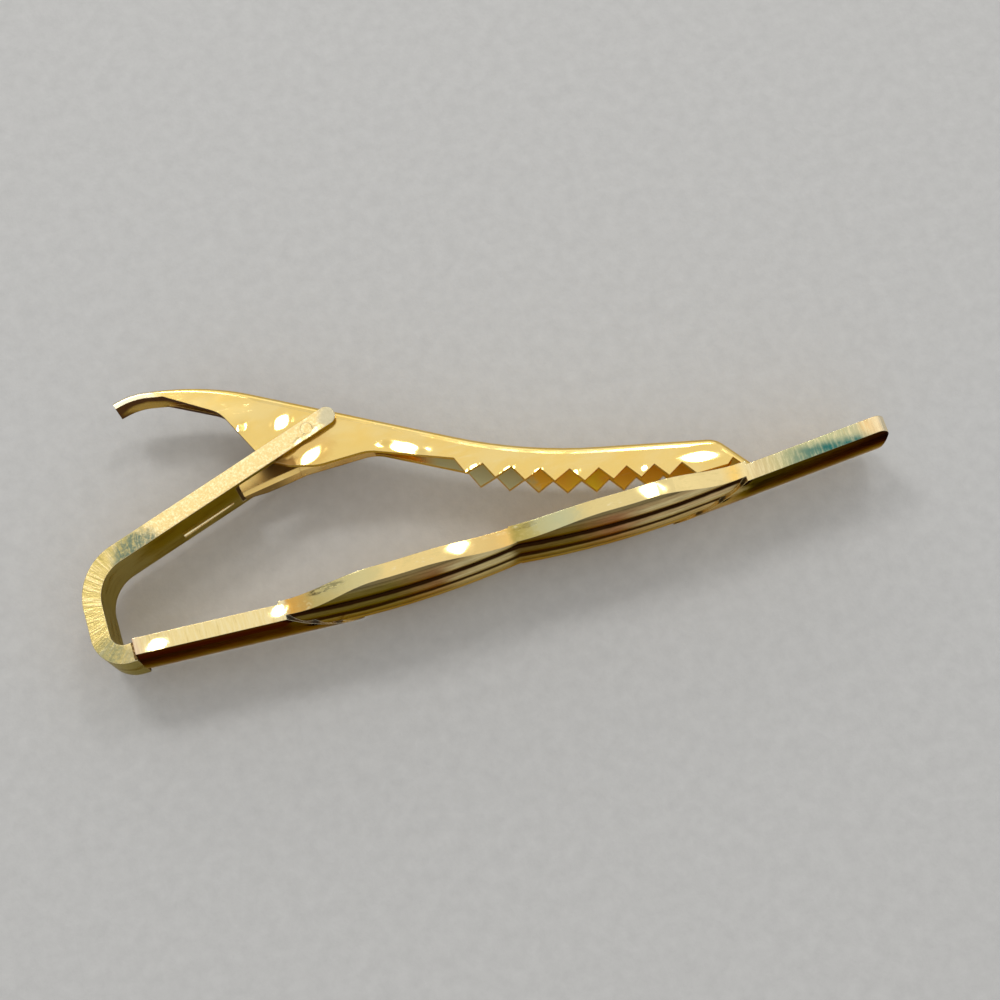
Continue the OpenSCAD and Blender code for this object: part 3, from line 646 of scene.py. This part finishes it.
# The glints on the near wall's edge: the place along and across, the radius, the stretch and its turn
LEVER_GLINTS = [
    (-12.1, 4.65, 0.5, (1, 1), 0), (-14.9, 5.15, 0.3, (1.1, 0.9), 24), (-10.8, 1.65, 0.62, (0.9, 1.4), 15),
    (-4.4, 0.35, 0.62, (0.6, 1.5), -18), (15.3, -6.45, 0.62, (0.6, 1.5), -7),
    (-0.15, -2.6, 0.4, (0.9, 1.7), 42), (2.05, -3.45, 0.4, (0.9, 1.7), 42),
    (4.05, -4.15, 0.3, (0.9, 1.7), 42), (6.5, -5.05, 0.34, (0.9, 1.7), 42),
    (11.3, -6.1, 0.24, (0.9, 1.5), 42)]


def lever_far_wall(f, near):
    """Painted reflections on the far wall seen between the teeth, laid on as matt colour: grey-green first,
    then deep orange with a yellow stretch.
    """
    far = f.times(near, f.rise(f.z, *FAR_WALL), f.rise(f.x, -4.0, -2.0))
    warm = f.sum(f.x, f.times(f.noise(0.9, 4.0, 0.6), 2.4))
    # painted reflections: matt colour so that the far wall shows bright
    f.coat(far, FAR_REFLECTION_ORANGE, 0.4, 0.0)
    f.coat(f.times(far, f.rise(warm, 5.6, 4.8)), FAR_REFLECTION_GREEN, 0.3)
    f.coat(f.times(far, f.span(warm, 8.0, 10.0, 0.9), 0.8), FAR_REFLECTION_YELLOW, 0.35)


def lever_pivot(f, near, outside):
    """Orange and dark patches round the pivot, orange inside the channel, and painted shade on the far ear.
    """
    brown = f.patch(PIVOT_ORANGE_PLACE, 2.4, ragged=0.8, scale=1.2, stretch=(0.8, 1.25, 0.4))
    f.coat(f.times(brown, near, outside, 0.45), PIVOT_ORANGE, 0.25)
    dark = f.patch(PIVOT_DARK_PLACE, 0.9, ragged=0.5, scale=1.8, stretch=(0.8, 1.4, 0.4))
    f.coat(f.times(dark, near, 0.85), PIVOT_BLACK, 0.5, 0.75)
    inside = f.times(f.rise(f.z, 5.4, 5.1), f.rise(f.x, -3.0, -6.0), f.rise(f.nz, 0.7, 0.2))
    f.coat(f.times(inside, 0.75), CHANNEL_ORANGE, 0.28)
    # painted shade on the far ear
    ear = f.times(near, f.rise(f.z, *FAR_WALL), f.rise(f.x, -4.0, -6.0))
    f.coat(f.times(ear, 0.8), EAR_SHADE_GOLD, 0.3)


def lever_tab(f):
    """The thumb tab: plate worn to silver at its end, painted shade underneath with one painted bright
    reflection.
    """
    worn = f.patch(TAB_WORN, 2.4, ragged=0.9, scale=0.9, stretch=(0.8, 1.2, 0.6))
    f.coat(f.times(worn, f.rise(f.ny, -0.35, 0.1), 0.75), TAB_SILVER, 0.32)
    # painted shade on the faces under the tab
    under = f.times(f.rise(f.x, -12.0, -14.0), f.rise(f.ny, -0.3, -0.7))
    f.coat(f.times(under, 0.9), TAB_UNDER_SHADE, 0.32, 0.85)
    # a painted bright reflection under the tab
    spot = f.patch(TAB_REFLECTION_PLACE, 1.3, ragged=0.4, scale=1.2, stretch=(0.6, 1, 1.2))
    f.coat(f.times(under, spot, 0.8), TAB_GLEAM_REFLECTION, 0.24)


def lever_finish():
    """Mirror-bright folded sheet: soft dents, orange tarnish at the pivot, worn silver at the thumb tab."""
    f = Finish("bright_lever", GOLD, LEVER_DEEP, 0.1, edge_radius=0.06, grain=0.0006)
    near = f.near_face()
    outside = f.rise(f.z, LEVER_TOP - 0.3, LEVER_TOP - 0.1)
    f.emboss(f.noise(0.4, 1.5, 0.4), 0.05)
    f.flecks(1.0, f.noise(0.55, 5.0, 0.55, stretch=(0.5, 1, 1)), 0.42, 0.66, 0.4, LEVER_PALE)
    lever_far_wall(f, near)
    lever_pivot(f, near, outside)
    lever_tab(f)
    scratches = f.band(f.noise(3.0, 4.0, 0.75, stretch=(0.15, 1.4, 1.4), turn=(0, 0, 0.42)), 0.60, 0.66)
    f.coat(f.times(scratches, 0.12), SCRATCH_PALE, 0.16)
    f.emboss(scratches, -0.0006)
    # grime and painted shade in the inner corners
    f.crevice_grime_and_shade(0.45, LEVER_GRIME_AND_SHADE, 0.75)
    for along, across, radius, stretch, turn in LEVER_GLINTS:
        f.glint((along, across, LEVER_TOP), radius, stretch, turn)
    # painted highlight along the rounded edges of the near face
    f.coat(f.times(f.edge, outside, 0.5), FOLD_HIGHLIGHT)
    return f.done()


# The pin, the spring and the seam

# The colours of the wire and of the brazing metal
WIRE_GREY = (0.46, 0.42, 0.35)
WIRE_DARK = (0.30, 0.26, 0.20)
WIRE_RUST = (0.26, 0.14, 0.06)
BRAZE_BROWN = (0.20, 0.12, 0.04)
BRAZE_DARK = (0.11, 0.06, 0.02)
BRAZE_GOLD = (0.62, 0.42, 0.16)


def pin_finish():
    """Coarse and sandy like the arm's cut edge, and brown inside the lever."""
    f = Finish("pin_metal", SAND_GOLD, SAND_GOLD, 0.33, edge_radius=0.02)
    f.sheared(1.0)
    f.coat(f.times(f.span(f.z, 2.4, 5.8, 0.1), 0.6), BROWN, 0.45, 0.8)
    return f.done()


def wire_finish():
    """Drawn steel wire with a little rust."""
    f = Finish("spring_wire", WIRE_GREY, WIRE_DARK, 0.26, edge_radius=0.02)
    f.emboss(f.noise(9.0, 4.0, 0.6, stretch=(0.3, 1, 1)), 0.006)
    f.coat(f.band(f.noise(1.6, 5.0, 0.65), 0.48, 0.62), WIRE_RUST, 0.5, 0.8)
    return f.done()


def braze_finish():
    """Dull brazing metal with flecks of gold."""
    f = Finish("braze_metal", BRAZE_BROWN, BRAZE_DARK, 0.5, edge_radius=0.03)
    f.emboss(f.noise(6.0, 5.0, 0.7), 0.03)
    f.flecks(1.0, f.noise(3.2, 4.0, 0.6), 0.5, 0.62, 0.6, BRAZE_GOLD, 0.35)
    return f.done()


def dress(piece, material):
    """Gives a piece one material in place of what it had."""
    piece.data.materials.clear()
    piece.data.materials.append(material)


def spring_wire(coil_radius=0.83, coil_height=2.017, wire_radius=0.15, coil_points=108):
    """The torsion spring in round wire: a leg along the arm, a coil round the pin, a leg under the tab."""
    # each leg's direction in degrees, its length and its number of steps
    arm_way, arm_leg, arm_steps = 197.8, 9.6, 8
    tab_way, tab_leg, tab_steps = 129.71, 5.4, 6
    start, end = arm_way - 90, tab_way + 90
    turn = start - end + 3 * 360

    def out(angle, length):
        return Vector((math.cos(math.radians(angle)), math.sin(math.radians(angle)))) * length

    points = []
    for i in range(arm_steps + 1):
        leg = out(arm_way, arm_leg * (1 - i / arm_steps))
        points.append((*(out(start, coil_radius) + leg), -coil_height / 2))
    for i in range(1, coil_points):
        t = i / coil_points
        points.append((*out(start - turn * t, coil_radius), coil_height * (t - 0.5)))
    for i in range(tab_steps + 1):
        leg = out(tab_way, tab_leg * i / tab_steps)
        points.append((*(out(end, coil_radius) + leg), coil_height / 2))

    line = bpy.data.curves.new("spring_wire", "CURVE")
    line.dimensions = "3D"
    line.bevel_depth = wire_radius * MM
    line.bevel_resolution = 4
    line.use_fill_caps = True
    run = line.splines.new("POLY")
    run.points.add(len(points) - 1)
    for point, at in zip(run.points, points):
        point.co = (*((PIN + Vector(at)) * MM), 1)
    piece = bpy.data.objects.new("spring_wire", line)
    bpy.context.collection.objects.link(piece)
    bpy.ops.object.select_all(action="DESELECT")
    bpy.context.view_layer.objects.active = piece
    piece.select_set(True)
    bpy.ops.object.convert(target="MESH")
    piece = bpy.context.object
    bpy.ops.object.shade_smooth_by_angle(angle=math.radians(40))
    return piece


def braze_seam(size=(0.2, 1.22, 4.98), place=(BAR_LEFT - 0.07, -8.27, MID_WIDTH), rounding=0.05, bumps=0.012):
    """The bead of brazing metal in the joint between the bar and the arm."""
    bpy.ops.object.select_all(action="DESELECT")
    bpy.ops.mesh.primitive_cube_add(size=MM, location=Vector(place) * MM)
    piece = bpy.context.object
    piece.name = "braze_seam"
    piece.scale = size
    bpy.ops.object.transform_apply(location=True, rotation=True, scale=True)
    bpy.ops.object.mode_set(mode="EDIT")
    bpy.ops.mesh.select_all(action="SELECT")
    bpy.ops.mesh.bevel(offset=rounding * MM, segments=3, affect="EDGES")
    bpy.ops.mesh.select_all(action="SELECT")
    bpy.ops.mesh.subdivide(number_cuts=2, smoothness=0)
    bpy.ops.transform.vertex_random(offset=bumps * MM, seed=4)
    bpy.ops.object.mode_set(mode="OBJECT")
    bpy.ops.object.shade_smooth_by_angle(angle=math.radians(60))
    return piece


wire = spring_wire()
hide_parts("jaw_spring")
dress(wire, wire_finish())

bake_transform(wire)

seam = braze_seam()
dress(seam, braze_finish())
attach(seam, "frame")

dress(frame["nodes"]["front_bar"], bar_finish())
dress(frame["nodes"]["back_arm"], arm_finish())
dress(frame["nodes"]["jaw_lever"], lever_finish())
dress(frame["nodes"]["pivot_pin"], pin_finish())
dress(frame["nodes"]["jaw_spring"], wire.data.materials[0])


# Floor, light and camera. All lengths from here on are metres

FLOOR_WIDTH = 1.6
FLOOR_COLOUR = (0.55, 0.545, 0.53)

# The grey of the room's light, from level and below (0) to straight above (1)
SKY_TONES = [(0.0, 0.32), (0.25, 0.42), (0.6, 0.62), (0.9, 0.86), (1.0, 0.88)]


def paper(name, colour):
    """Matt paper with a fine grain."""
    material = bpy.data.materials.new(name)
    material.use_nodes = True
    tree = material.node_tree
    shader = tree.nodes["Principled BSDF"]
    shader.inputs["Roughness"].default_value = 0.85
    coords = node(tree, "ShaderNodeTexCoord").outputs["Object"]
    grain = node(tree, "ShaderNodeTexNoise", Scale=900.0, Detail=6.0, Roughness=0.65)
    tree.links.new(coords, grain.inputs["Vector"])
    tone = ramp(tree, grain.outputs["Fac"], [(0.3, tuple(part * 0.9 for part in colour)), (0.7, colour)])
    tree.links.new(tone, shader.inputs["Base Color"])
    bump = node(tree, "ShaderNodeBump", Strength=0.25, Distance=0.0002)
    tree.links.new(grain.outputs["Fac"], bump.inputs["Height"])
    tree.links.new(bump.outputs["Normal"], shader.inputs["Normal"])
    return material


def softbox(name, at, size, power):
    """A rectangular lamp that looks at the middle of the clip."""
    lamp = bpy.data.lights.new(name, "AREA")
    lamp.shape = "RECTANGLE"
    lamp.size, lamp.size_y = size
    lamp.energy = power
    made = bpy.data.objects.new(name, lamp)
    made.location = at
    made.rotation_euler = (-Vector(at)).to_track_quat("-Z", "Y").to_euler()
    bpy.context.scene.collection.objects.link(made)


def studio_world():
    """Even light from all round, brighter from above."""
    world = bpy.data.worlds.new("studio")
    world.use_nodes = True
    sky = world.node_tree
    sky.nodes.clear()
    way = node(sky, "ShaderNodeSeparateXYZ")
    sky.links.new(node(sky, "ShaderNodeTexCoord").outputs["Generated"], way.inputs["Vector"])
    glow = node(sky, "ShaderNodeBackground", Strength=1.0)
    sky.links.new(ramp(sky, way.outputs["Z"], SKY_TONES), glow.inputs["Color"])
    sky.links.new(glow.outputs["Background"], node(sky, "ShaderNodeOutputWorld").inputs["Surface"])
    return world


def photo_camera():
    """The camera at the photograph's place."""
    lens = bpy.data.cameras.new("photo_camera")
    lens.sensor_width = SENSOR_WIDTH
    lens.lens = CAMERA_LENS
    lens.clip_start = 0.005
    lens.clip_end = 10
    camera = bpy.data.objects.new("photo_camera", lens)
    camera.location = CAMERA_AT
    camera.rotation_euler = Euler([math.radians(turn) for turn in CAMERA_TURN])
    bpy.context.scene.collection.objects.link(camera)
    return camera


bpy.ops.mesh.primitive_plane_add(size=FLOOR_WIDTH, location=(0, 0, 0))
floor = bpy.context.object
floor.name = "floor"
floor.data.materials.append(paper("floor_paper", FLOOR_COLOUR))

softbox("key_left", KEY_LEFT, size=(0.10, 0.08), power=0.35)
softbox("key_right", KEY_RIGHT, size=(0.06, 0.05), power=0.15)
softbox("fill", (0.36, 0.16, 0.28), size=(0.42, 0.40), power=0.16)
softbox("back", (0.02, 0.38, 0.13), size=(0.56, 0.16), power=0.2)

bpy.context.scene.world = studio_world()
bpy.context.scene.camera = photo_camera()
bpy.context.scene.view_settings.view_transform = "Standard"
